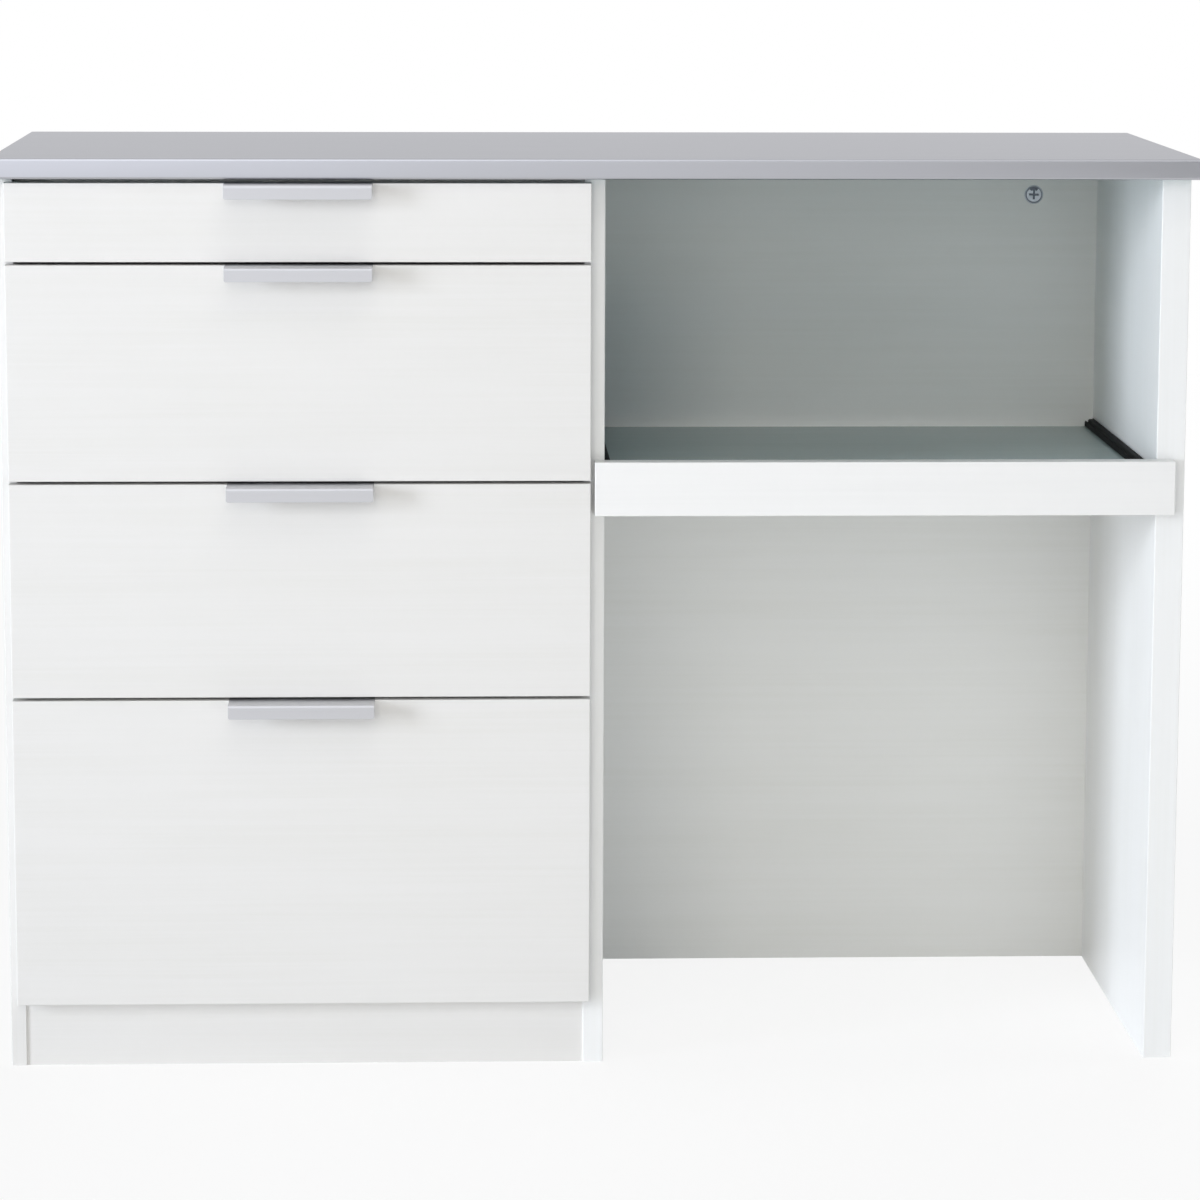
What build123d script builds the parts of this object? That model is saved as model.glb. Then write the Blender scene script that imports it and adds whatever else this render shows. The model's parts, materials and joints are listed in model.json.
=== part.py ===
from build123d import *
import os

# Kitchen counter cabinet: four drawers on the left, an open bay with a pull-out shelf on the right.
# Millimetres. X runs right from the middle of the body, Y runs to the back, Z runs up from the floor.

# Widths, from the left side to the right leg
side_thickness = 15
chest_inner_width = 551
divider_thickness = 20
bay_inner_width = 542
leg_thickness = 28
worktop_overhang = 7

# Depths, from the handles to the wall
handle_reach = 25
worktop_lead = 7
front_thickness = 18
closing_gap = 0.5
runner_setback = 2
runner_length = 400
room_behind_runner = 7.5
back_thickness = 15

# Heights, from the floor to the worktop, with the top drawer first
kick_height = 66
front_heights = (76, 210, 210, 305)
front_gap = 3
gap_under_worktop = 4
worktop_thickness = 20

# How the fronts lie over the panels
left_reveal = 8
overlay_on_divider = 6
gap_beside_rail = 4
right_reveal = 12
edge_radius = 0.8

# Carcass boards
floor_thickness = 15
top_rail_thickness = 15
top_rail_depth = 80
top_rail_setback = 20
kick_thickness = 15
kick_recess = 2

# Worktop: sheet folded round a board
worktop_sheet = 1
worktop_edge_radius = 2.5
worktop_return = 12

# Drawer boxes
box_board = 12
box_lift = 8
box_headroom = 50
clearance_under_rail = 5
box_shortfall = 6.5
bottom_thickness = 5
groove_depth = 5
groove_rise = 6
groove_play = 0.2

# Drawer handles
handle_width = 142
handle_sheet = 2
handle_lip = 14
handle_bend_radius = 2
handle_corner_radius = 2
handle_side_play = 0.2
handle_screw_spacing = 96
handle_screw_length = 18

# Pull-out shelf
shelf_rail_bottom = 552
shelf_rail_height = 53
shelf_rail_thickness = front_thickness
shelf_drop = 17.5
shelf_board_thickness = 18
shelf_pin_spacing = 160

# Runners, in three nested channels, slimmer under the shelf
runner_width = 12.7
shelf_runner_width = 9.7
drawer_runner_heights = (35, 45, 45, 45)
shelf_runner_height = 35
runner_sheet = 1.2
runner_bend_radius = 1.5
runner_play = 0.3
outer_flange_setback = 2.2
outer_lip = 2
middle_web_place = 3.8
middle_flange_setback = 3.3
inner_flange_start = 5.2
runner_web_tip = 12
runner_screw_insets = (35, 64)

# Fasteners
bore_play = 0.05
bore_end_play = 0.5
screw_diameter = 3.5
screw_head_diameter = 7
screw_head_height = 1.5
runner_screw_length = 11
worktop_screw_length = 28
worktop_screw_spacing = 200
pin_diameter = 5
pin_shallow = 8
pin_deep = 20
pin_edge_distance = 16
dowel_diameter = 8
dowel_shallow = 10
dowel_deep = 20
dowel_end_inset = 60
rail_dowel_inset = 20
back_dowel_heights = (160, 460, 760)
bay_dowel_shift = 40
kick_dowel_inset = 90
connector_diameter = 20
connector_depth = 11
connector_drop = 45
connector_inset = 68
connector_slot_width = 2
connector_slot_length = 12
connector_slot_depth = 1.5
bolt_diameter = 6
bolt_hole_diameter = 7
bolt_in_worktop = 12
bolt_in_connector = 4

# Places across the width
body_width = side_thickness + chest_inner_width + divider_thickness + bay_inner_width + leg_thickness
body_x = (-body_width / 2, body_width / 2)
chest_x = (body_x[0] + side_thickness, body_x[0] + side_thickness + chest_inner_width)
divider_x = (chest_x[1], chest_x[1] + divider_thickness)
bay_x = (divider_x[1], divider_x[1] + bay_inner_width)
front_x = (body_x[0] + left_reveal, divider_x[0] + overlay_on_divider)
shelf_rail_x = (front_x[1] + gap_beside_rail, body_x[1] - right_reveal)
worktop_x = (body_x[0] - worktop_overhang, body_x[1] + worktop_overhang)

# Places along the depth: the whole, handles included, lies centred on Y = 0
carcass_depth = runner_setback + runner_length + room_behind_runner + back_thickness
total_depth = handle_reach + front_thickness + closing_gap + carcass_depth
face_y = handle_reach - total_depth / 2
front_y = (face_y, face_y + front_thickness)
carcass_y = (front_y[1] + closing_gap, total_depth / 2)
back_y = (carcass_y[1] - back_thickness, carcass_y[1])
worktop_y = (face_y - worktop_lead, carcass_y[1])
runner_y = (carcass_y[0] + runner_setback, carcass_y[0] + runner_setback + runner_length)
box_y = (front_y[1], runner_y[1] - box_shortfall)
kick_y = (carcass_y[0] + kick_recess, carcass_y[0] + kick_recess + kick_thickness)
top_rail_y = (carcass_y[0] + top_rail_setback, carcass_y[0] + top_rail_setback + top_rail_depth)

# Places up the height
drawer_count = len(front_heights)
front_z = []
bottom_edge = kick_height
for height in reversed(front_heights):
    front_z.insert(0, (bottom_edge, bottom_edge + height))
    bottom_edge += height + front_gap
body_height = front_z[0][1] + gap_under_worktop
worktop_z = (body_height, body_height + worktop_thickness)
floor_z = (kick_height, kick_height + floor_thickness)
top_rail_z = (body_height - top_rail_thickness, body_height)
body_z = (0, body_height)
shelf_rail_z = (shelf_rail_bottom, shelf_rail_bottom + shelf_rail_height)
shelf_board_top = shelf_rail_z[1] - shelf_drop
shelf_board_z = (shelf_board_top - shelf_board_thickness, shelf_board_top)


def middle(span):
    return (span[0] + span[1]) / 2


def length(span):
    return span[1] - span[0]


def grown(span, amount):
    return (span[0] - amount, span[1] + amount)


# A board, or a space cut from one, between two faces along each axis
def board(x_span, y_span, z_span, mode=Mode.ADD):
    with Locations((middle(x_span), middle(y_span), middle(z_span))):
        Box(length(x_span), length(y_span), length(z_span), mode=mode)


# Rounds the edges round a board's front face, or only those along one axis
def round_front(piece, axis=None):
    edges = piece.faces().sort_by(Axis.Y)[0].edges()
    fillet(edges.filter_by(axis) if axis else edges, radius=edge_radius)


# Solids that stand up from their site, or sink down from it
seated = (Align.CENTER, Align.CENTER, Align.MIN)
sunk = (Align.CENTER, Align.CENTER, Align.MAX)

cross_width = screw_diameter / 5
cross_length = screw_diameter
cross_depth = screw_head_height / 2
flat_head_depth = (screw_head_diameter - screw_diameter) / 2


# A site is a plane on a surface. Its Z axis points away from where a screw goes.
def site(x, y, z, direction):
    return Plane(origin=(x, y, z), z_dir=direction)


# Rods and bores reach from `ahead` in front of the site to `behind` it.
def rods(sites, radius, behind, ahead=0, mode=Mode.ADD):
    with Locations(*[place.offset(-behind) for place in sites]):
        Cylinder(radius, behind + ahead, align=seated, mode=mode)


def bore(sites, diameter, behind, ahead=0):
    rods(sites, diameter / 2 + bore_play, behind, ahead, mode=Mode.SUBTRACT)


# A cross for the screwdriver, cut down from the site
def cut_cross(sites, width, slot_length, depth):
    with Locations(*sites):
        Box(width, slot_length, depth, align=sunk, mode=Mode.SUBTRACT)
        Box(slot_length, width, depth, align=sunk, mode=Mode.SUBTRACT)


# Pan-head screws seat their heads on the site.
def pan_screws(sites, screw_length):
    rods(sites, screw_diameter / 2, screw_length)
    rods(sites, screw_head_diameter / 2, 0, screw_head_height)
    cut_cross([place.offset(screw_head_height) for place in sites], cross_width, cross_length, cross_depth)


# A flat head, or its countersink, widens at 45 degrees up to the site.
def flat_heads(sites, play, mode):
    small = screw_diameter / 2 + play
    large = screw_head_diameter / 2 + play
    with Locations(*[place.offset(-flat_head_depth) for place in sites]):
        Cone(small, large, flat_head_depth, align=seated, mode=mode)


def flat_screws(sites, screw_length):
    rods(sites, screw_diameter / 2, screw_length)
    flat_heads(sites, 0, Mode.ADD)
    cut_cross(sites, cross_width, cross_length, cross_depth)


def bore_for_flat_screws(sites, screw_length):
    bore(sites, screw_diameter, screw_length + bore_end_play)
    flat_heads(sites, bore_play, Mode.SUBTRACT)


# Dowels and pins go `deep` into a board's edge, behind the site, and `shallow` into the face ahead of it.
def bore_for_dowels(sites):
    bore(sites, dowel_diameter, dowel_deep + bore_end_play, dowel_shallow + bore_end_play)


def bore_for_pins(sites):
    bore(sites, pin_diameter, pin_deep + bore_end_play, pin_shallow + bore_end_play)


os.makedirs("parts", exist_ok=True)


def save(piece, label):
    piece.part.label = label
    export_step(piece.part, f"parts/{label}.step")


# Where the dowels cross each joint of the carcass
left_way = (-1, 0, 0)
right_way = (1, 0, 0)
front_way = (0, -1, 0)
back_way = (0, 1, 0)
down_way = (0, 0, -1)
up_way = (0, 0, 1)

chest_walls = ((chest_x[0], left_way), (chest_x[1], right_way))
bay_walls = ((bay_x[0], left_way), (bay_x[1], right_way))
deep_y_places = (carcass_y[0] + dowel_end_inset, back_y[0] - dowel_end_inset)
rail_y_places = (top_rail_y[0] + rail_dowel_inset, top_rail_y[1] - rail_dowel_inset)
top_y_places = (top_rail_y[1] + dowel_end_inset, back_y[0] - dowel_end_inset)

floor_dowels = [
    site(wall, y, middle(floor_z), way) for wall, way in chest_walls for y in deep_y_places
]
rail_dowels = [
    site(wall, y, middle(top_rail_z), way) for wall, way in chest_walls for y in rail_y_places
]
chest_back_dowels = [
    site(wall, middle(back_y), z, way) for wall, way in chest_walls for z in back_dowel_heights
]
bay_back_dowels = [
    site(wall, middle(back_y), z + bay_dowel_shift, way)
    for wall, way in bay_walls
    for z in back_dowel_heights
]
kick_dowels = [
    site(x, middle(kick_y), kick_height, up_way)
    for x in (chest_x[0] + kick_dowel_inset, chest_x[1] - kick_dowel_inset)
]
upright_middles = (
    body_x[0] + side_thickness / 2,
    middle(divider_x),
    body_x[1] - leg_thickness / 2,
)
top_dowels = [site(x, y, body_height, up_way) for x in upright_middles for y in top_y_places]
carcass_dowels = (
    floor_dowels + rail_dowels + chest_back_dowels + bay_back_dowels + kick_dowels + top_dowels
)

# Round panel connectors, let into the back panels, draw the worktop down on its bolts.
connector_z = body_height - connector_drop
chest_connectors = [
    site(x, back_y[0], connector_z, front_way)
    for x in (chest_x[0] + connector_inset, chest_x[1] - connector_inset)
]
bay_connectors = [site(bay_x[1] - connector_inset, back_y[0], connector_z, front_way)]
connectors = chest_connectors + bay_connectors


def bolt_sites(places):
    return [site(place.origin.X, middle(back_y), body_height, up_way) for place in places]


bolt_reach = connector_drop - bolt_in_connector

# Screws up through the top rail into the worktop
worktop_screw_sites = [
    site(middle(chest_x) + side * worktop_screw_spacing / 2, middle(top_rail_y), top_rail_z[0], down_way)
    for side in (-1, 1)
]


def bore_for_connectors(places):
    bore(places, connector_diameter, connector_depth)
    bore(bolt_sites(places), bolt_hole_diameter, bolt_reach)


# Runners: a wall on the left and one on the right, each with the way from the wall to what slides
def wall_pair(span):
    return ((span[0], 1), (span[1], -1))


def runner_screw_y():
    return (runner_y[0] + runner_screw_insets[0], runner_y[1] - runner_screw_insets[1])


def outer_screw_sites(walls, z):
    return [
        site(wall + way * runner_sheet, y, z, (way, 0, 0)) for wall, way in walls for y in runner_screw_y()
    ]


def inner_screw_sites(walls, z, width):
    return [
        site(wall + way * (width - runner_sheet), y, z, (-way, 0, 0))
        for wall, way in walls
        for y in runner_screw_y()
    ]


# One channel on each wall: `outline` is its centreline, out from the wall and up from the middle.
def runner_channels(outline, walls, z, channel_length):
    with BuildSketch(Plane.XZ.offset(-runner_y[0])) as section:
        for wall, way in walls:
            with BuildLine() as path:
                FilletPolyline(
                    *[(wall + way * out, z + up) for out, up in outline],
                    radius=runner_bend_radius,
                )
            trace(path.line, line_width=runner_sheet)
    extrude(section.sketch, amount=channel_length, dir=back_way)


# At the back the flanges stop short, and the web alone goes on to the end.
def cut_flanges(walls, z, height, reach):
    tip = (runner_y[1] - runner_web_tip, runner_y[1])
    for wall, way in walls:
        across = sorted(wall + way * out for out in reach)
        board(across, tip, grown((z, z), height / 2), mode=Mode.SUBTRACT)


def outer_outline(width, height):
    flange = height / 2 - runner_sheet / 2
    web = runner_sheet / 2
    reach = width - outer_flange_setback
    half = [(reach, flange - outer_lip), (reach, flange), (web, flange)]
    return half + [(out, -up) for out, up in reversed(half)]


def middle_outline(width, height):
    flange = height / 2 - 1.5 * runner_sheet - runner_play
    half = [(width - middle_flange_setback, flange), (middle_web_place, flange)]
    return half + [(out, -up) for out, up in reversed(half)]


def inner_outline(width, height):
    flange = height / 2 - 2.5 * runner_sheet - 2 * runner_play
    web = width - runner_sheet / 2
    half = [(inner_flange_start, flange), (web, flange)]
    return half + [(out, -up) for out, up in reversed(half)]


def make_runners(name, walls, z, width, height):
    with BuildPart() as runner_outer:
        runner_channels(outer_outline(width, height), walls, z, runner_length)
        cut_flanges(walls, z, height, (runner_sheet, width))
        bore(outer_screw_sites(walls, z), screw_diameter, runner_sheet)
    save(runner_outer, f"{name}_runner_outer")

    with BuildPart() as runner_middle:
        runner_channels(middle_outline(width, height), walls, z, runner_length - runner_web_tip)
    save(runner_middle, f"{name}_runner_middle")

    with BuildPart() as runner_inner:
        runner_channels(inner_outline(width, height), walls, z, runner_length)
        cut_flanges(walls, z, height, (0, width - runner_sheet))
        bore(inner_screw_sites(walls, z, width), screw_diameter, runner_sheet)
    save(runner_inner, f"{name}_runner_inner")


# Where each drawer box and its runners lie
box_z = []
for order, (low, high) in enumerate(front_z):
    floor_below = floor_z[1] if order == drawer_count - 1 else low
    box_top = top_rail_z[0] - clearance_under_rail if order == 0 else high - box_headroom
    box_z.append((floor_below + box_lift, box_top))
drawer_runner_z = [middle(span) for span in box_z]
shelf_runner_z = middle(shelf_board_z)

# Worktop: a folded sheet, open below and at the back, and the board that fills it
core_x = (worktop_x[0] + worktop_sheet, worktop_x[1] - worktop_sheet)
core_y = (worktop_y[0] + worktop_sheet, worktop_y[1])
core_z = (worktop_z[0], worktop_z[1] - worktop_sheet)
return_y = (core_y[0], worktop_y[0] + worktop_return)


# The front edges, above and below, and the top edges at both ends
def folded_edges(block):
    front_edges = block.edges().filter_by(Axis.X).group_by(Axis.Y)[0]
    end_edges = block.edges().filter_by(Axis.Y).group_by(Axis.Z)[-1]
    return front_edges + end_edges


with BuildPart() as filling:
    board(core_x, core_y, core_z)
    board(core_x, return_y, (core_z[0], core_z[0] + worktop_sheet), mode=Mode.SUBTRACT)
    fillet(folded_edges(filling), radius=worktop_edge_radius - worktop_sheet)

with BuildPart() as worktop_skin:
    board(worktop_x, worktop_y, worktop_z)
    fillet(folded_edges(worktop_skin), radius=worktop_edge_radius)
    add(filling.part, mode=Mode.SUBTRACT)
save(worktop_skin, "worktop_skin")

with BuildPart() as worktop_core:
    add(filling.part)
    bore_for_dowels(top_dowels)
    bore_for_flat_screws(worktop_screw_sites, worktop_screw_length)
    bore(bolt_sites(connectors), bolt_diameter, 0, bolt_in_worktop)
save(worktop_core, "worktop_core")

# Uprights, each bored for the runner screws and dowels that reach it
chest_screws = [
    place for z in drawer_runner_z for place in outer_screw_sites(wall_pair(chest_x), z)
]
shelf_screws = outer_screw_sites(wall_pair(bay_x), shelf_runner_z)


def reaching(sites, x_span):
    low, high = grown(x_span, runner_width)
    return [place for place in sites if low <= place.origin.X <= high]


for label, x_span in (
    ("left_side_panel", (body_x[0], chest_x[0])),
    ("divider_panel", divider_x),
    ("right_leg_panel", (bay_x[1], body_x[1])),
):
    with BuildPart() as upright:
        board(x_span, carcass_y, body_z)
        round_front(upright, Axis.Z)
        bore(reaching(chest_screws + shelf_screws, x_span), screw_diameter, runner_screw_length)
        bore_for_dowels(reaching(carcass_dowels, x_span))
    save(upright, label)

# Boards between the uprights
with BuildPart() as chest_floor_panel:
    board(chest_x, (carcass_y[0], back_y[0]), floor_z)
    bore_for_dowels(floor_dowels + kick_dowels)
save(chest_floor_panel, "chest_floor_panel")

with BuildPart() as front_top_rail:
    board(chest_x, top_rail_y, top_rail_z)
    bore_for_dowels(rail_dowels)
    bore_for_flat_screws(worktop_screw_sites, worktop_screw_length)
save(front_top_rail, "front_top_rail")

with BuildPart() as kickboard:
    board(chest_x, kick_y, (0, kick_height))
    bore_for_dowels(kick_dowels)
save(kickboard, "kickboard")

with BuildPart() as chest_back_panel:
    board(chest_x, back_y, body_z)
    bore_for_dowels(chest_back_dowels)
    bore_for_connectors(chest_connectors)
save(chest_back_panel, "chest_back_panel")

with BuildPart() as bay_back_panel:
    board(bay_x, back_y, body_z)
    bore_for_dowels(bay_back_dowels)
    bore_for_connectors(bay_connectors)
save(bay_back_panel, "bay_back_panel")

# Carcass fasteners
with BuildPart() as panel_connectors:
    rods(connectors, connector_diameter / 2, connector_depth)
    cut_cross(connectors, connector_slot_width, connector_slot_length, connector_slot_depth)
    rods(bolt_sites(connectors), bolt_hole_diameter / 2, bolt_reach + bore_end_play, mode=Mode.SUBTRACT)
    rods(bolt_sites(connectors), bolt_diameter / 2, bolt_reach, bolt_in_worktop)
save(panel_connectors, "panel_connectors")

with BuildPart() as dowels:
    rods(carcass_dowels, dowel_diameter / 2, dowel_deep, dowel_shallow)
save(dowels, "dowels")

with BuildPart() as worktop_screws:
    flat_screws(worktop_screw_sites, worktop_screw_length)
save(worktop_screws, "worktop_screws")

with BuildPart() as runner_screws:
    pan_screws(chest_screws + shelf_screws, runner_screw_length)
save(runner_screws, "runner_screws")

# What every drawer box shares across its width and depth
box_x = (chest_x[0] + runner_width, chest_x[1] - runner_width)
inside_x = (box_x[0] + box_board, box_x[1] - box_board)
inside_y = (box_y[0], box_y[1] - box_board)
handle_x = (middle(front_x) - handle_width / 2, middle(front_x) + handle_width / 2)
handle_y = (face_y - handle_reach, front_y[1])
handle_screw_x = [middle(front_x) + side * handle_screw_spacing / 2 for side in (-1, 1)]


def make_drawer(name, low, high, box_span, runner_height):
    runner_z = middle(box_span)
    groove_z = box_span[0] + groove_rise
    inner_screws = inner_screw_sites(wall_pair(chest_x), runner_z, runner_width)
    handle_screws = [site(x, middle(front_y), high, up_way) for x in handle_screw_x]
    pin_z = (box_span[0] + pin_edge_distance, box_span[1] - pin_edge_distance)
    side_middles = (box_x[0] + box_board / 2, box_x[1] - box_board / 2)
    front_pins = [site(x, front_y[1], z, front_way) for x in side_middles for z in pin_z]
    back_pins = [
        site(wall, box_y[1] - box_board / 2, z, way)
        for wall, way in ((inside_x[0], left_way), (inside_x[1], right_way))
        for z in pin_z
    ]
    groove = (
        grown(inside_x, groove_depth),
        grown(inside_y, groove_depth),
        (groove_z, groove_z + bottom_thickness + groove_play),
    )

    with BuildPart() as front:
        board(front_x, front_y, (low, high))
        round_front(front)
        board(grown(handle_x, handle_side_play), front_y, (high - handle_sheet, high), mode=Mode.SUBTRACT)
        board(*groove, mode=Mode.SUBTRACT)
        bore_for_pins(front_pins)
        bore_for_flat_screws(handle_screws, handle_screw_length)
    save(front, f"{name}_front")

    with BuildPart() as handle:
        with BuildSketch(Plane.YZ.offset(handle_x[0])):
            with BuildLine():
                FilletPolyline(
                    (handle_y[1], high - handle_sheet / 2),
                    (handle_y[0] + handle_sheet / 2, high - handle_sheet / 2),
                    (handle_y[0] + handle_sheet / 2, high - handle_lip),
                    radius=handle_bend_radius,
                )
            trace(line_width=handle_sheet)
        extrude(amount=handle_width)
        lip_corners = handle.edges().filter_by(Axis.Y).group_by(Axis.Z)[0]
        fillet(lip_corners, radius=handle_corner_radius)
        bore_for_flat_screws(handle_screws, handle_screw_length)
    save(handle, f"{name}_handle")

    for side_name, side_x in (
        ("left_side", (box_x[0], inside_x[0])),
        ("right_side", (inside_x[1], box_x[1])),
    ):
        with BuildPart() as side:
            board(side_x, box_y, box_span)
            board(*groove, mode=Mode.SUBTRACT)
            bore_for_pins(front_pins + back_pins)
            bore(inner_screws, screw_diameter, runner_screw_length)
        save(side, f"{name}_{side_name}")

    with BuildPart() as back:
        board(inside_x, (inside_y[1], box_y[1]), box_span)
        board(*groove, mode=Mode.SUBTRACT)
        bore_for_pins(back_pins)
    save(back, f"{name}_back")

    with BuildPart() as bottom:
        reach = groove_depth - groove_play
        board(grown(inside_x, reach), grown(inside_y, reach), (groove_z, groove_z + bottom_thickness))
    save(bottom, f"{name}_bottom")

    with BuildPart() as fasteners:
        rods(front_pins + back_pins, pin_diameter / 2, pin_deep, pin_shallow)
        pan_screws(inner_screws, runner_screw_length)
        flat_screws(handle_screws, handle_screw_length)
    save(fasteners, f"{name}_fasteners")

    make_runners(name, wall_pair(chest_x), runner_z, runner_width, runner_height)


for order in range(drawer_count):
    low, high = front_z[order]
    make_drawer(f"drawer_{order + 1}", low, high, box_z[order], drawer_runner_heights[order])

# Pull-out shelf: the board's edges ride straight on the runners, and pins hold it to the rail.
shelf_x = (bay_x[0] + shelf_runner_width, bay_x[1] - shelf_runner_width)
shelf_y = box_y
shelf_rail_y = (front_y[1] - shelf_rail_thickness, front_y[1])
shelf_inner_screws = inner_screw_sites(wall_pair(bay_x), shelf_runner_z, shelf_runner_width)
shelf_pins = [
    site(middle(bay_x) + place * shelf_pin_spacing, shelf_y[0], shelf_runner_z, front_way)
    for place in (-1, 0, 1)
]

with BuildPart() as shelf_front_rail:
    board(shelf_rail_x, shelf_rail_y, shelf_rail_z)
    round_front(shelf_front_rail)
    bore_for_pins(shelf_pins)
save(shelf_front_rail, "shelf_front_rail")

with BuildPart() as shelf_board:
    board(shelf_x, shelf_y, shelf_board_z)
    bore_for_pins(shelf_pins)
    bore(shelf_inner_screws, screw_diameter, runner_screw_length)
save(shelf_board, "shelf_board")

with BuildPart() as shelf_fasteners:
    rods(shelf_pins, pin_diameter / 2, pin_deep, pin_shallow)
    pan_screws(shelf_inner_screws, runner_screw_length)
save(shelf_fasteners, "shelf_fasteners")

make_runners("shelf", wall_pair(bay_x), shelf_runner_z, shelf_runner_width, shelf_runner_height)
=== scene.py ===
import json
import math

import bmesh
import bpy
import numpy as np
from mathutils import Matrix, Vector


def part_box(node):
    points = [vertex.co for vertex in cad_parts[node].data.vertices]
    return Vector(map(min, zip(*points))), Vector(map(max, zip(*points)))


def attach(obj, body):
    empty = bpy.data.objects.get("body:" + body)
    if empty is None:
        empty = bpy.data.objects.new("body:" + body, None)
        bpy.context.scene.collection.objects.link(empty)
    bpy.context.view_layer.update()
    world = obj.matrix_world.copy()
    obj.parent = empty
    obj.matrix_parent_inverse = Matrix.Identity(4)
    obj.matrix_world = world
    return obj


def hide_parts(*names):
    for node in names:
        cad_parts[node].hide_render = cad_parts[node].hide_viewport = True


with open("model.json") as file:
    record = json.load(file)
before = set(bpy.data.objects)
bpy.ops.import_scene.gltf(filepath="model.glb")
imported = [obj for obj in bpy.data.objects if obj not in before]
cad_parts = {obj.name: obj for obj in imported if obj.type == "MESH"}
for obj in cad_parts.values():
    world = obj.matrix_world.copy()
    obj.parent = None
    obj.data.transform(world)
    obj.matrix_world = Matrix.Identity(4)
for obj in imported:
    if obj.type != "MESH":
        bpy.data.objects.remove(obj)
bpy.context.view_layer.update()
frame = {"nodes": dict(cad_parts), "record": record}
nodes = frame["nodes"]
print("frame loaded:", len(nodes), "nodes")

scene = bpy.context.scene
drawerNames = [f"drawer_{number}" for number in (1, 2, 3, 4)]
slidingNames = drawerNames + ["shelf"]
bodyOf = {name: body for body, names in frame["record"]["behaviour"]["bodies"].items() for name in names}

# Nodes that are dressed alike
handleNames = [f"{name}_handle" for name in drawerNames]
runnerNames = [f"{name}_runner_{member}" for name in slidingNames for member in ("outer", "middle", "inner")]
screwNames = [f"{name}_fasteners" for name in slidingNames] + ["worktop_screws", "runner_screws"]

pieces = {}  # the new piece that stands for a CAD node, by the node's name


def linear(hexColour):
    # sRGB to linear light, one channel at a time
    channels = [int(hexColour[place : place + 2], 16) / 255 for place in (1, 3, 5)]
    return [c / 12.92 if c <= 0.04045 else ((c + 0.055) / 1.055) ** 2.4 for c in channels] + [1.0]


def newMaterial(name):
    # the tree is empty until a material's own function fills it
    material = bpy.data.materials.new(name)
    material.use_nodes = True
    material.node_tree.nodes.clear()
    return material.node_tree


def addNode(tree, kind, inputs=None, **settings):
    # inputs: a socket's name or number, with a value or another node's output socket
    node = tree.nodes.new(kind)
    for name, value in settings.items():
        setattr(node, name, value)
    for key, value in (inputs or {}).items():
        if isinstance(value, bpy.types.NodeSocket):
            tree.links.new(value, node.inputs[key])
        else:
            node.inputs[key].default_value = value
    return node


def finishMaterial(tree, surface):
    addNode(tree, "ShaderNodeOutputMaterial", {"Surface": surface})


# Rounded sheet and pressed parts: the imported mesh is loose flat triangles, so a copy is welded,
# shaded smoothly round its bends, and given the fine rounding that its cut edges have.
welding = {
    "handleRounding": 0.00025,  # metres of rounding along each cut edge
    "worktopRounding": 0.00015,
    "runnerRounding": 0.00012,
    "screwRounding": 0.0,
    "roundingSegments": 2,
    "smoothUpTo": 35.0,  # degrees between two faces of one bend
    "flatWithin": 0.5,  # degrees between two triangles of one flat face
    "mergeWithin": 1e-6,  # metres between two corners that are one
}


def shadeSmooth(mesh):
    # smooth round the bends, sharp at the cut edges
    mesh.polygons.foreach_set("use_smooth", np.ones(len(mesh.polygons), bool))
    mesh.set_sharp_from_angle(angle=math.radians(welding["smoothUpTo"]))


def standFor(piece, nodeName):
    scene.collection.objects.link(piece)
    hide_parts(nodeName)
    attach(piece, bodyOf[nodeName])
    pieces[nodeName] = piece


def weldedCopy(nodeName, rounding):
    form = bmesh.new()
    form.from_mesh(nodes[nodeName].data)
    bmesh.ops.remove_doubles(form, verts=form.verts, dist=welding["mergeWithin"])
    flat = math.radians(welding["flatWithin"])
    bmesh.ops.dissolve_limit(form, angle_limit=flat, verts=form.verts, edges=form.edges)
    mesh = bpy.data.meshes.new(nodeName + "_welded")
    form.to_mesh(mesh)
    form.free()
    shadeSmooth(mesh)
    piece = bpy.data.objects.new(nodeName + "_welded", mesh)
    if rounding:
        bevel = piece.modifiers.new("cutEdges", "BEVEL")
        bevel.width = rounding
        bevel.segments = welding["roundingSegments"]
        bevel.limit_method = "ANGLE"
        bevel.angle_limit = math.radians(welding["smoothUpTo"])
        bevel.harden_normals = True
    standFor(piece, nodeName)


for name in handleNames:
    weldedCopy(name, welding["handleRounding"])
weldedCopy("worktop_skin", welding["worktopRounding"])
for name in runnerNames:
    weldedCopy(name, welding["runnerRounding"])
for name in screwNames:
    weldedCopy(name, welding["screwRounding"])
print("welded copies:", len(pieces))


# Panel connectors: a die-cast cam in a round housing, flush with the back panel, and its bolt.
# Lengths are in metres.
connector = {
    "inset": 0.068,  # from a side wall to the middle
    "drop": 0.045,  # from the worktop's underside to the middle
    "radius": 0.010,
    "depth": 0.011,
    "rimWidth": 0.0009,
    "edgeRounding": 0.0003,
    "stepWidth": 0.00025,  # the slope of each step in the face
    "grooveWidth": 0.0012,
    "grooveDepth": 0.0012,
    "camDepth": 0.0003,
    "slotLength": 0.0105,
    "slotWidth": 0.0022,
    "slotDepth": 0.0020,
    "slotRise": 0.35,  # share of the slot's depth that is lost from the middle to its full length
    "windowAngle": 38.0,  # degrees on each side of straight up
    "windowStep": 4.0,  # degrees
    "windowInner": 0.0048,
    "windowDepth": 0.0018,
    "boltRadius": 0.003,
    "boltStart": 0.004,  # above the disc's middle
    "boltReach": 0.012,  # into the worktop
    "boltChamfer": 0.001,
    "rings": 64,
    "sideRings": 6,
    "spokes": 144,
    "mergeWithin": 1e-7,
}


def ramp(low, high, value):
    # 0 below low, 1 above high, with a smooth rise between them
    share = np.clip((value - low) / (high - low), 0.0, 1.0)
    return share * share * (3 - 2 * share)


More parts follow.
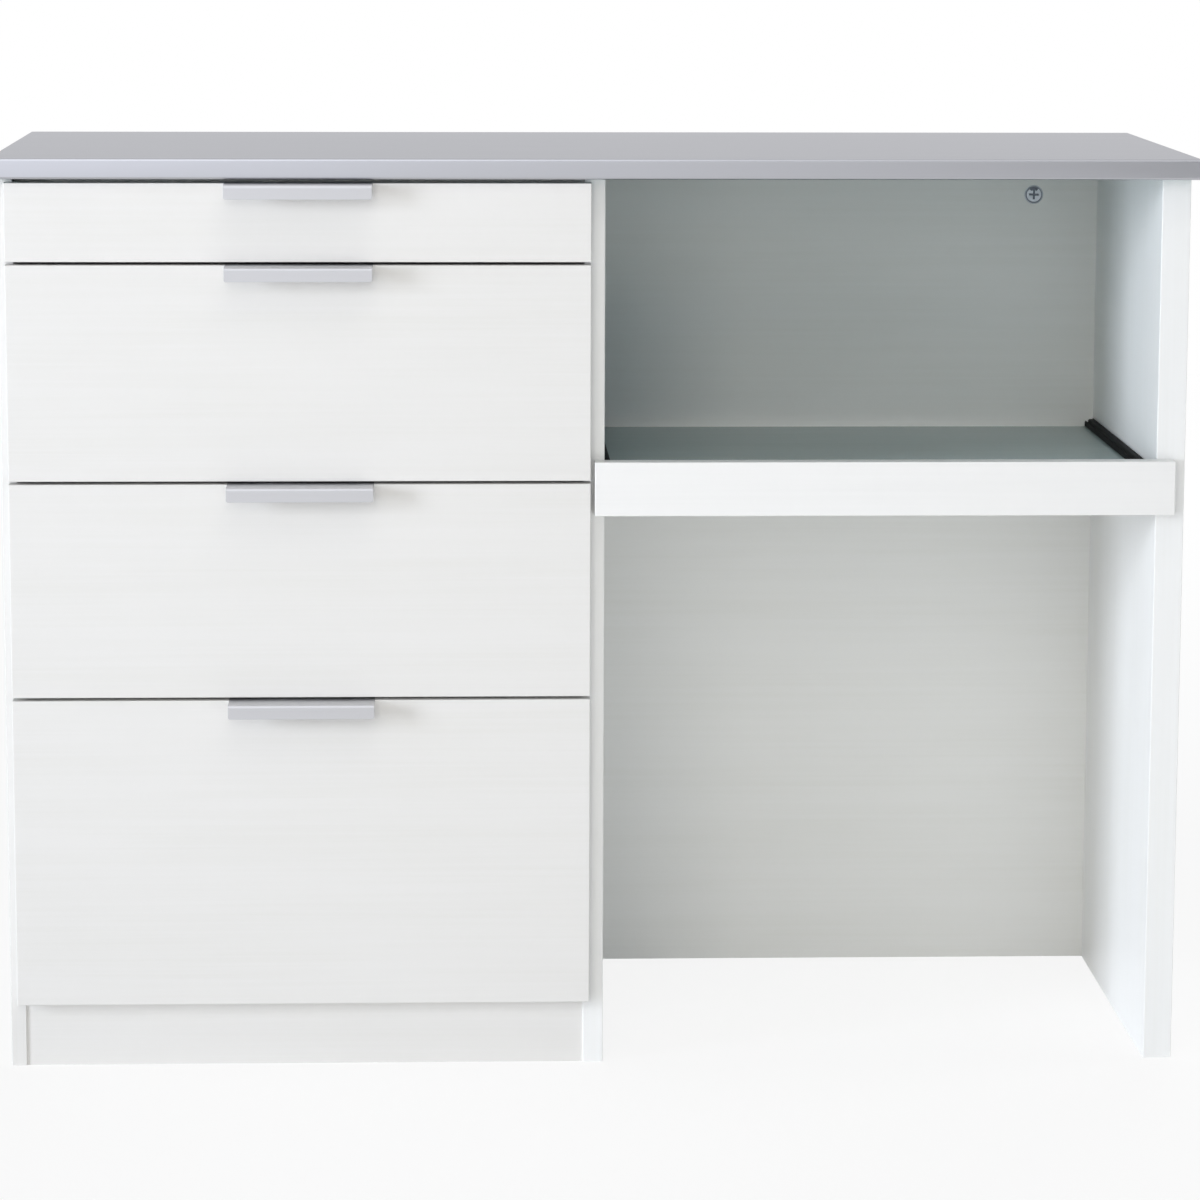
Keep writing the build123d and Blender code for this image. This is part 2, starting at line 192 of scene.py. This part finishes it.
def connectorFace(radius, angle):
    # Depth below the panel's face at a polar place: a rounded rim, a groove inside it, then the cam,
    # which has a cross for the driver and a window where the bolt enters from above
    across, up = radius * np.sin(angle), radius * np.cos(angle)
    step = connector["stepWidth"]
    grooveEdge = connector["radius"] - connector["rimWidth"]
    camEdge = grooveEdge - connector["grooveWidth"]
    pastCam = ramp(camEdge - step, camEdge, radius)
    pastGroove = ramp(grooveEdge - step, grooveEdge, radius)
    depth = connector["camDepth"] * (1 - pastCam) + connector["grooveDepth"] * pastCam * (1 - pastGroove)

    def inArm(along, beside):
        # 1 inside one bar of the cross, 0 outside it
        halfLength, halfWidth = connector["slotLength"] / 2, connector["slotWidth"] / 2
        inside = 1 - ramp(halfWidth - step, halfWidth, np.abs(beside))
        return inside * (1 - ramp(halfLength - 2 * step, halfLength, np.abs(along)))

    cross = np.maximum(inArm(across, up), inArm(up, across))
    slotFloor = connector["slotDepth"] * (1 - connector["slotRise"] * radius / connector["slotLength"])
    depth = depth + slotFloor * cross

    offTop = np.abs(np.degrees(np.arctan2(across, up)))
    side, inner = connector["windowAngle"], connector["windowInner"]
    window = 1 - ramp(side - connector["windowStep"], side, offTop)
    window = window * ramp(inner - step, inner, radius)
    window = window * (1 - ramp(camEdge - 2 * step, camEdge - step, radius))
    depth = np.maximum(depth, connector["windowDepth"] * window)

    # the rim turns over in a quarter circle
    rounding = connector["edgeRounding"]
    overEdge = np.clip((radius - connector["radius"] + rounding) / rounding, 0.0, 1.0)
    return depth + rounding * (1 - np.sqrt(1 - overEdge ** 2))


def turnedFaces(rows):
    # rows of a turned surface, from one pole to the other, as points (rows, spokes, 3): four-sided
    # faces join each point to its neighbours along and across the rows
    index = np.arange(rows.shape[0] * rows.shape[1]).reshape(rows.shape[:2])
    here, there = index[:-1], index[1:]
    return np.stack([here, np.roll(here, -1, 1), np.roll(there, -1, 1), there], -1).reshape(-1, 4)


def connectorDisc(turn):
    # the face from its middle out to the rim, then down the side and in to the middle of the base
    faceRadius = np.linspace(0.0, connector["radius"], connector["rings"])
    faceDepth = connectorFace(*np.meshgrid(faceRadius, turn, indexing="ij"))
    sideRadius = np.full(connector["sideRings"], connector["radius"])
    sideDepth = np.linspace(2 * connector["edgeRounding"], connector["depth"], connector["sideRings"])
    allRound = np.ones(len(turn))
    radius = np.concatenate([faceRadius, sideRadius, [0.0]])[:, None] * allRound
    depth = np.vstack([faceDepth, sideDepth[:, None] * allRound, connector["depth"] * allRound])
    return np.stack([radius * np.sin(turn), depth, radius * np.cos(turn)], -1)


def connectorBolt(turn, boltMiddle):
    # a round bar with a chamfered end: its profile, radius and height, is turned about Z
    low, high = connector["boltStart"], connector["drop"] + connector["boltReach"]
    bar, chamfer = connector["boltRadius"], connector["boltChamfer"]
    profile = np.array([(0, low), (bar, low), (bar, high - chamfer), (bar - chamfer, high), (0, high)])
    radius, height = profile[:, :1], profile[:, 1:]
    return np.stack([radius * np.cos(turn), radius * np.sin(turn) + boltMiddle,
                     height * np.ones(len(turn))], -1)


def makeConnectors():
    turn = np.linspace(0, 2 * np.pi, connector["spokes"], endpoint=False)
    chest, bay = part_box("chest_back_panel"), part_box("bay_back_panel")
    boltMiddle = (bay[1][1] - bay[0][1]) / 2
    disc, bolt = connectorDisc(turn), connectorBolt(turn, boltMiddle)
    inset = connector["inset"]
    points, faces, recess = [], [], []
    for x in (chest[0][0] + inset, chest[1][0] - inset, bay[1][0] - inset):
        middle = np.array((x, bay[0][1], bay[1][2] - connector["drop"]))
        for form in (disc, bolt):
            formPoints = form.reshape(-1, 3)
            faces.append(turnedFaces(form) + sum(len(group) for group in points))
            points.append(formPoints + middle)
            recess.append(formPoints[:, 1] if form is disc else np.zeros(len(formPoints)))
    mesh = bpy.data.meshes.new("panel_connectors_cast")
    mesh.from_pydata(np.concatenate(points), [], np.concatenate(faces))
    mesh.attributes.new("recess", "FLOAT", "POINT").data.foreach_set("value", np.concatenate(recess))
    # each pole is a ring of points in one place, closed by the merge
    form = bmesh.new()
    form.from_mesh(mesh)
    bmesh.ops.remove_doubles(form, verts=form.verts, dist=connector["mergeWithin"])
    bmesh.ops.recalc_face_normals(form, faces=form.faces)
    form.to_mesh(mesh)
    form.free()
    shadeSmooth(mesh)
    piece = bpy.data.objects.new("panel_connectors_cast", mesh)
    standFor(piece, "panel_connectors")


makeConnectors()
print("connectors made")


# Melamine-faced board: printed paper under clear resin, pressed against a wood-grain plate.
# Near-white, with faint streaks along the grain and a soft, even sheen.
melamine = {
    "streakLength": 0.30,  # metres along the grain
    "streakWidth": 0.0035,
    "cloudWidth": 0.042,  # broad bands, in which the streaks come and go
    "streakRange": (0.15, 0.42),  # pattern values for no streak and for a full one
    "poreLength": 0.045,
    "poreWidth": 0.0016,
    "poreDepth": 0.00004,
    "poreStrength": 0.6,
    "roughness": (0.40, 0.46),
    "ior": 1.5,
}

# Papers of the boards: the axis that the grain runs along, the paper's colour and its streaks' colour.
# The white boards are one melamine; their colours differ as painted light and shade, lighter on the standing
# boards and darker on the fronts, kickboard and left side. A second colour lies on the shelf board's upward
# face only.
papers = {
    # fronts, kickboard and left side: drawn darker than the other white boards, painted shade on their lit
    # faces
    "whiteMelamineFronts": {"grain": "X", "colour": "#e7e6e4", "streak": "#e4e3e0"},
    "whiteMelamineSide": {"grain": "Z", "colour": "#e7e6e4", "streak": "#e4e3e0"},
    "whiteMelamineLying": {"grain": "X", "colour": "#f4f5f3", "streak": "#f1f2ef"},
    "whiteMelamineRail": {"grain": "X", "colour": "#f3f3f2", "streak": "#f0f0ef"},
    # standing boards: drawn lighter than the other white boards, painted light on their shaded faces
    "whiteMelamineStanding": {"grain": "Z", "colour": "#f7f8f8", "streak": "#f4f5f4"},
    "whiteMelamineDeep": {"grain": "Y", "colour": "#f4f5f3", "streak": "#f1f2ef"},
    # shelf board: its upward face is drawn grey-green, darker than its other faces; the blue-green tint is
    # painted shade colour
    "greyToppedMelamine": {"grain": "X", "colour": "#f4f5f3", "streak": "#f1f2ef",
                           "upper": "#a0b0ae", "upperStreak": "#9cacaa", "roughness": (0.20, 0.26)},
}


def makeMelamine(name):
    paper = papers[name]
    roughness = paper.get("roughness", melamine["roughness"])
    tree = newMaterial(name)
    place = addNode(tree, "ShaderNodeTexCoord").outputs["Object"]

    def stretchedNoise(along, across, detail, roughness=0.5):
        scale = [1 / along if axis == paper["grain"] else 1 / across for axis in "XYZ"]
        vector = addNode(tree, "ShaderNodeMapping", {"Vector": place, "Scale": scale}).outputs[0]
        return addNode(tree, "ShaderNodeTexNoise", {
            "Vector": vector, "Scale": 1.0, "Detail": detail, "Roughness": roughness,
        }).outputs[0]

    streaks = stretchedNoise(melamine["streakLength"], melamine["streakWidth"], 4.0, 0.6)
    clouds = stretchedNoise(melamine["streakLength"], melamine["cloudWidth"], 2.0)
    both = addNode(tree, "ShaderNodeMath", {0: streaks, 1: clouds}, operation="MULTIPLY")
    share = addNode(tree, "ShaderNodeMapRange", {
        "Value": both.outputs[0],
        "From Min": melamine["streakRange"][0], "From Max": melamine["streakRange"][1],
    }).outputs[0]
    colour = addNode(tree, "ShaderNodeMix", {
        0: share, 6: linear(paper["colour"]), 7: linear(paper["streak"]),
    }, data_type="RGBA").outputs[2]
    if "upper" in paper:
        normal = addNode(tree, "ShaderNodeNewGeometry").outputs["True Normal"]
        up = addNode(tree, "ShaderNodeSeparateXYZ", {0: normal}).outputs["Z"]
        isUpper = addNode(tree, "ShaderNodeMath", {0: up, 1: 0.5}, operation="GREATER_THAN")
        upper = addNode(tree, "ShaderNodeMix", {
            0: share, 6: linear(paper["upper"]), 7: linear(paper["upperStreak"]),
        }, data_type="RGBA")
        colour = addNode(tree, "ShaderNodeMix", {
            0: isUpper.outputs[0], 6: colour, 7: upper.outputs[2],
        }, data_type="RGBA").outputs[2]
    pores = stretchedNoise(melamine["poreLength"], melamine["poreWidth"], 3.0, 0.7)
    rough = addNode(tree, "ShaderNodeMapRange", {
        "Value": pores, "To Min": roughness[0], "To Max": roughness[1],
    })
    bump = addNode(tree, "ShaderNodeBump", {
        "Height": pores, "Distance": melamine["poreDepth"], "Strength": melamine["poreStrength"],
    })
    shader = addNode(tree, "ShaderNodeBsdfPrincipled", {
        "Base Color": colour, "Roughness": rough.outputs[0], "Normal": bump.outputs[0],
        "IOR": melamine["ior"],
    })
    finishMaterial(tree, shader.outputs[0])


# Ferritic stainless sheet with a hairline finish: a belt grinds it lengthwise.
# The real scratches are about 0.1 mm wide; these are drawn coarser, so that they show.
stainless = {
    "colour": "#b7b8bd",
    "edgeTint": "#dfdfe1",  # the ground sheet looks darker when seen nearly edge-on
    "lineLength": 0.16,  # metres
    "lineWidth": 0.0011,
    "lineDepth": 0.00002,
    "roughness": (0.27, 0.40),
}


def makeStainless():
    tree = newMaterial("hairlineStainless")
    place = addNode(tree, "ShaderNodeTexCoord").outputs["Object"]
    scale = [1 / stainless["lineLength"]] + [1 / stainless["lineWidth"]] * 2
    lines = addNode(tree, "ShaderNodeTexNoise", {
        "Vector": addNode(tree, "ShaderNodeMapping", {"Vector": place, "Scale": scale}).outputs[0],
        "Scale": 1.0, "Detail": 3.0, "Roughness": 0.55,
    }).outputs[0]
    rough = addNode(tree, "ShaderNodeMapRange", {
        "Value": lines, "To Min": stainless["roughness"][0], "To Max": stainless["roughness"][1],
    })
    bump = addNode(tree, "ShaderNodeBump", {"Height": lines, "Distance": stainless["lineDepth"]})
    shader = addNode(tree, "ShaderNodeBsdfPrincipled", {
        "Base Color": linear(stainless["colour"]), "Metallic": 1.0,
        "Roughness": rough.outputs[0], "Normal": bump.outputs[0],
        "Specular Tint": linear(stainless["edgeTint"]),
    })
    finishMaterial(tree, shader.outputs[0])


# Finishes with a fine even grain. Brushed and anodised aluminium is a soft grey metal, the black
# stoved coat of the runners takes nearly all light, zinc plate is brighter and uneven, and beech
# is matt and warm. Grain and its depth are in metres.
evenFinishes = {
    "satinAluminium": {"colour": "#c4c4c6", "metallic": 1.0, "specular": 0.5, "roughness": (0.46, 0.56),
                       "grain": 0.0006, "depth": 0.00001},
    "blackRunnerCoat": {"colour": "#07080a", "metallic": 0.0, "specular": 0.12, "roughness": (0.60, 0.72),
                        "grain": 0.0012, "depth": 0.00002},
    "zincPlate": {"colour": "#b4b7bb", "metallic": 1.0, "specular": 0.5, "roughness": (0.28, 0.45),
                  "grain": 0.0020, "depth": 0.00002},
    "beechDowel": {"colour": "#c9a57a", "metallic": 0.0, "specular": 0.5, "roughness": (0.55, 0.70),
                   "grain": 0.0015, "depth": 0.00003},
}


def makeEvenFinish(name):
    finish = evenFinishes[name]
    tree = newMaterial(name)
    place = addNode(tree, "ShaderNodeTexCoord").outputs["Object"]
    grain = addNode(tree, "ShaderNodeTexNoise", {
        "Vector": place, "Scale": 1 / finish["grain"], "Detail": 2.0,
    }).outputs[0]
    rough = addNode(tree, "ShaderNodeMapRange", {
        "Value": grain, "To Min": finish["roughness"][0], "To Max": finish["roughness"][1],
    })
    bump = addNode(tree, "ShaderNodeBump", {"Height": grain, "Distance": finish["depth"]})
    shader = addNode(tree, "ShaderNodeBsdfPrincipled", {
        "Base Color": linear(finish["colour"]), "Metallic": finish["metallic"],
        "Roughness": rough.outputs[0], "Normal": bump.outputs[0],
        "Specular IOR Level": finish["specular"],
    })
    finishMaterial(tree, shader.outputs[0])


# Zinc die casting: dull grey, drawn darker the deeper a place lies below the face, painted shade in the
# groove, cross and window
castZinc = {
    "colour": "#c3c9cf",
    "recessShadeColour": "#737a82",
    "recessDepth": (0.0004, 0.0014),  # metres
    "grain": 0.0009,
    "grainDepth": 0.00003,
    "roughness": (0.38, 0.55),
}


def makeCastZinc():
    tree = newMaterial("castZinc")
    place = addNode(tree, "ShaderNodeTexCoord").outputs["Object"]
    grain = addNode(tree, "ShaderNodeTexNoise", {
        "Vector": place, "Scale": 1 / castZinc["grain"], "Detail": 3.0,
    }).outputs[0]
    recess = addNode(tree, "ShaderNodeAttribute", attribute_name="recess").outputs["Fac"]
    share = addNode(tree, "ShaderNodeMapRange", {
        "Value": recess, "From Min": castZinc["recessDepth"][0], "From Max": castZinc["recessDepth"][1],
    })
    # the darkening with depth is painted shade
    tone = addNode(tree, "ShaderNodeMix", {
        0: share.outputs[0], 6: linear(castZinc["colour"]), 7: linear(castZinc["recessShadeColour"]),
    }, data_type="RGBA")
    rough = addNode(tree, "ShaderNodeMapRange", {
        "Value": grain, "To Min": castZinc["roughness"][0], "To Max": castZinc["roughness"][1],
    })
    bump = addNode(tree, "ShaderNodeBump", {"Height": grain, "Distance": castZinc["grainDepth"]})
    shader = addNode(tree, "ShaderNodeBsdfPrincipled", {
        "Base Color": tone.outputs[2], "Metallic": 1.0,
        "Roughness": rough.outputs[0], "Normal": bump.outputs[0],
    })
    finishMaterial(tree, shader.outputs[0])


# Particle board under the worktop: pressed chips, with a backing paper on its lower face whose blue-grey is
# painted shade colour, chosen so that its bounce tints the bay's shade
coreBoard = {
    "darkChip": "#96794f",
    "middleChip": "#b39a78",
    "lightChip": "#cdb892",
    "backingWithShadeTint": "#7f9fa3",
    "chipSize": 0.0035,  # metres
    "chipDepth": 0.0002,
    "roughness": 0.8,
}


def makeCoreBoard():
    tree = newMaterial("particleBoard")
    place = addNode(tree, "ShaderNodeTexCoord").outputs["Object"]
    chips = addNode(tree, "ShaderNodeTexVoronoi", {
        "Vector": place, "Scale": 1 / coreBoard["chipSize"],
    })
    tone = addNode(tree, "ShaderNodeValToRGB", {0: chips.outputs["Color"]})
    tone.color_ramp.elements[0].color = linear(coreBoard["darkChip"])
    tone.color_ramp.elements[1].color = linear(coreBoard["lightChip"])
    tone.color_ramp.elements.new(0.5).color = linear(coreBoard["middleChip"])
    normal = addNode(tree, "ShaderNodeNewGeometry").outputs["True Normal"]
    up = addNode(tree, "ShaderNodeSeparateXYZ", {0: normal}).outputs["Z"]
    below = addNode(tree, "ShaderNodeMath", {0: up, 1: -0.5}, operation="LESS_THAN")
    # lower face: the backing paper, its blue-grey a painted shade tint for the bay
    colour = addNode(tree, "ShaderNodeMix", {
        0: below.outputs[0], 6: tone.outputs[0], 7: linear(coreBoard["backingWithShadeTint"]),
    }, data_type="RGBA")
    bump = addNode(tree, "ShaderNodeBump", {
        "Height": chips.outputs["Distance"], "Distance": coreBoard["chipDepth"],
    })
    shader = addNode(tree, "ShaderNodeBsdfPrincipled", {
        "Base Color": colour.outputs[2], "Roughness": coreBoard["roughness"], "Normal": bump.outputs[0],
    })
    finishMaterial(tree, shader.outputs[0])


# What each node wears
wornBy = {
    "whiteMelamineFronts": [f"{name}_front" for name in drawerNames] + ["kickboard"],
    "whiteMelamineSide": ["left_side_panel"],
    "whiteMelamineLying": ["front_top_rail", "chest_floor_panel", "bay_back_panel"]
    + [f"{name}_{part}" for name in drawerNames for part in ("back", "bottom")],
    "whiteMelamineRail": ["shelf_front_rail"],
    "whiteMelamineStanding": ["divider_panel", "right_leg_panel", "chest_back_panel"],
    "whiteMelamineDeep": [f"{name}_{side}_side" for name in drawerNames for side in ("left", "right")],
    "greyToppedMelamine": ["shelf_board"],
    "hairlineStainless": ["worktop_skin"],
    "particleBoard": ["worktop_core"],
    "satinAluminium": handleNames,
    "blackRunnerCoat": runnerNames,
    "zincPlate": screwNames,
    "beechDowel": ["dowels"],
    "castZinc": ["panel_connectors"],
}

for name in papers:
    makeMelamine(name)
makeStainless()
for name in evenFinishes:
    makeEvenFinish(name)
makeCoreBoard()
makeCastZinc()
for materialName, nodeNames in wornBy.items():
    for name in nodeNames:
        mesh = pieces.get(name, nodes[name]).data
        mesh.materials.clear()
        mesh.materials.append(bpy.data.materials[materialName])
print("materials made:", len(bpy.data.materials))


def seenDirectly(tree):
    # 1 for a camera ray, and for one that reached here by a mirror-like bounce or through glass
    path = addNode(tree, "ShaderNodeLightPath")
    seen = addNode(tree, "ShaderNodeMath", {
        0: path.outputs["Is Camera Ray"], 1: path.outputs["Is Glossy Ray"],
    }, operation="MAXIMUM")
    return addNode(tree, "ShaderNodeMath", {
        0: seen.outputs[0], 1: path.outputs["Is Transmission Ray"],
    }, operation="MAXIMUM").outputs[0]


def stagePlate(name, corners):
    # a flat four-sided piece of the studio, with its own material
    mesh = bpy.data.meshes.new(name)
    mesh.from_pydata(corners, [], [(0, 1, 2, 3)])
    plate = bpy.data.objects.new(name, mesh)
    scene.collection.objects.link(plate)
    tree = newMaterial(name)
    mesh.materials.append(bpy.data.materials[name])
    return plate, tree


# Floor: matt and near-white for light and shadow, and mostly plain white to the eye
studioFloor = {
    "colour": "#f7f7f7",
    "halfSide": 60.0,  # metres
    "glow": (0.84, 1.0),  # share of plain white that the camera sees, near and far
    "glowReach": (1.2, 6.0),  # metres from the middle
}


def makeFloor():
    half = studioFloor["halfSide"]
    corners = [(-half, -half, 0), (half, -half, 0), (half, half, 0), (-half, half, 0)]
    tree = stagePlate("studioFloor", corners)[1]
    place = addNode(tree, "ShaderNodeTexCoord").outputs["Object"]
    away = addNode(tree, "ShaderNodeVectorMath", {0: place}, operation="LENGTH")
    share = addNode(tree, "ShaderNodeMapRange", {
        "Value": away.outputs["Value"],
        "From Min": studioFloor["glowReach"][0], "From Max": studioFloor["glowReach"][1],
        "To Min": studioFloor["glow"][0], "To Max": studioFloor["glow"][1],
    })
    glow = addNode(tree, "ShaderNodeMath", {
        0: seenDirectly(tree), 1: share.outputs[0],
    }, operation="MULTIPLY")
    matt = addNode(tree, "ShaderNodeBsdfDiffuse", {"Color": linear(studioFloor["colour"])})
    white = addNode(tree, "ShaderNodeEmission", {"Color": (1, 1, 1, 1), "Strength": 1.0})
    mixed = addNode(tree, "ShaderNodeMixShader", {
        0: glow.outputs[0], 1: matt.outputs[0], 2: white.outputs[0],
    })
    finishMaterial(tree, mixed.outputs[0])


# Dome: soft light from all round, and a white background to the eye
dome = {
    "colour": "#f0f5fa",
    "strength": 0.34,
}


def makeWorld():
    world = bpy.data.worlds.new("studio")
    world.use_nodes = True
    tree = world.node_tree
    tree.nodes.clear()
    light = addNode(tree, "ShaderNodeBackground", {
        "Color": linear(dome["colour"]), "Strength": dome["strength"],
    })
    white = addNode(tree, "ShaderNodeBackground", {"Color": (1, 1, 1, 1), "Strength": 1.0})
    mixed = addNode(tree, "ShaderNodeMixShader", {
        0: seenDirectly(tree), 1: light.outputs[0], 2: white.outputs[0],
    })
    addNode(tree, "ShaderNodeOutputWorld", {"Surface": mixed.outputs[0]})
    scene.world = world


# Cards met by reflections only: the worktop's front edge brightens towards the white one on the left
# and darkens towards the grey one on the right, and the high one draws a light line along its rounding.
# Place and size are in metres; the lean is how far the top leans towards the object, in degrees.
cards = {
    "whiteCard": {"place": (-1.8, -4.4, 0.9), "size": (2.8, 1.8), "lean": 0.0,
                  "colour": "#f6f8ff", "strength": 1.75},
    "greyCard": {"place": (2.7, -4.4, 0.9), "size": (2.8, 1.8), "lean": 0.0,
                 "colour": "#606266", "strength": 1.0},
    "highCard": {"place": (-1.6, -3.0, 3.2), "size": (3.6, 3.4), "lean": 45.0,
                 "colour": "#f8faff", "strength": 2.1},
}


def makeCard(name):
    card = cards[name]
    lean = math.radians(card["lean"])
    across = Vector((card["size"][0] / 2, 0.0, 0.0))
    upwards = Vector((0.0, math.sin(lean), math.cos(lean))) * card["size"][1] / 2
    corners = [Vector(card["place"]) + side * across + rise * upwards
               for side, rise in ((1, -1), (-1, -1), (-1, 1), (1, 1))]
    plate, tree = stagePlate(name, corners)
    tone = addNode(tree, "ShaderNodeEmission", {
        "Color": linear(card["colour"]), "Strength": card["strength"],
    })
    finishMaterial(tree, tone.outputs[0])
    for ray in ("camera", "diffuse", "transmission", "volume_scatter", "shadow"):
        setattr(plate, "visible_" + ray, False)


# Softboxes: place and aim in metres, width and height in metres, power in watts
softboxes = {
    "keySoftbox": {"place": (-1.9, -4.4, 3.0), "aim": (0.0, -0.2, 0.45), "size": (3.0, 3.0),
                   "power": 17.0, "colour": "#fff8ee", "seenInGloss": True},
    "leftStrip": {"place": (-5.6, -3.0, 1.3), "aim": (0.3, -0.1, 0.45), "size": (1.6, 2.6),
                  "power": 256.0, "colour": "#eff5ff", "seenInGloss": True},
    "overheadSoftbox": {"place": (0.1, -1.6, 3.2), "aim": (0.1, -0.3, 0.6), "size": (1.6, 1.0),
                        "power": 10.0, "colour": "#fff9f0", "seenInGloss": False},
    "nearFill": {"place": (-0.55, -2.6, 1.2), "aim": (0.2, 0.0, 0.5), "size": (0.8, 1.6),
                 "power": 9.4, "colour": "#fff9f0", "seenInGloss": False},
    "lowFill": {"place": (0.5, -1.6, 0.14), "aim": (0.3, 0.2, 0.4), "size": (1.0, 0.25),
                "power": 1.6, "colour": "#fffcf6", "seenInGloss": False},
    "backFill": {"place": (1.8, 4.6, 2.4), "aim": (0.0, 0.2, 0.45), "size": (2.5, 2.5),
                 "power": 80.0, "colour": "#ffffff", "seenInGloss": False},
    "rightFill": {"place": (4.8, 0.9, 1.6), "aim": (0.55, 0.0, 0.45), "size": (2.0, 2.0),
                  "power": 70.0, "colour": "#fffefc", "seenInGloss": False},
}


def makeSoftbox(name):
    box = softboxes[name]
    light = bpy.data.lights.new(name, "AREA")
    light.shape = "RECTANGLE"
    light.size, light.size_y = box["size"]
    light.energy = box["power"]
    light.color = linear(box["colour"])[:3]
    lamp = bpy.data.objects.new(name, light)
    lamp.location = box["place"]
    lamp.rotation_euler = (Vector(box["aim"]) - Vector(box["place"])).to_track_quat("-Z", "Y").to_euler()
    lamp.visible_camera = False
    lamp.visible_glossy = box["seenInGloss"]
    scene.collection.objects.link(lamp)


camera = {
    "place": (-0.1547, -4.2972, 1.1573),  # metres: left of the middle, in front, above the floor
    "tiltDown": 8.571,  # degrees
    "turnRight": 2.210,
    "roll": 0.192,
    "lens": 127.43,  # millimetres
    "sensorWidth": 36.0,
    "shiftY": -0.06,
    "clipEnd": 200.0,  # metres
}


def makeCamera():
    # ahead, right and up are the camera's own axes, tilted, turned and rolled
    tilt, turn, roll = (math.radians(camera[name]) for name in ("tiltDown", "turnRight", "roll"))
    ahead = Vector((math.sin(turn) * math.cos(tilt), math.cos(turn) * math.cos(tilt), -math.sin(tilt)))
    level = Vector((math.cos(turn), -math.sin(turn), 0.0))
    upright = level.cross(ahead)
    right = math.cos(roll) * level + math.sin(roll) * upright
    up = math.cos(roll) * upright - math.sin(roll) * level
    data = bpy.data.cameras.new("camera")
    data.lens = camera["lens"]
    data.sensor_width = camera["sensorWidth"]
    data.shift_y = camera["shiftY"]
    data.clip_end = camera["clipEnd"]
    eye = bpy.data.objects.new("camera", data)
    eye.location = camera["place"]
    eye.rotation_euler = Matrix((right, up, -ahead)).transposed().to_euler()
    scene.collection.objects.link(eye)
    scene.camera = eye


makeFloor()
makeWorld()
for name in cards:
    makeCard(name)
for name in softboxes:
    makeSoftbox(name)
makeCamera()
scene.view_settings.view_transform = "Standard"
print("studio ready")
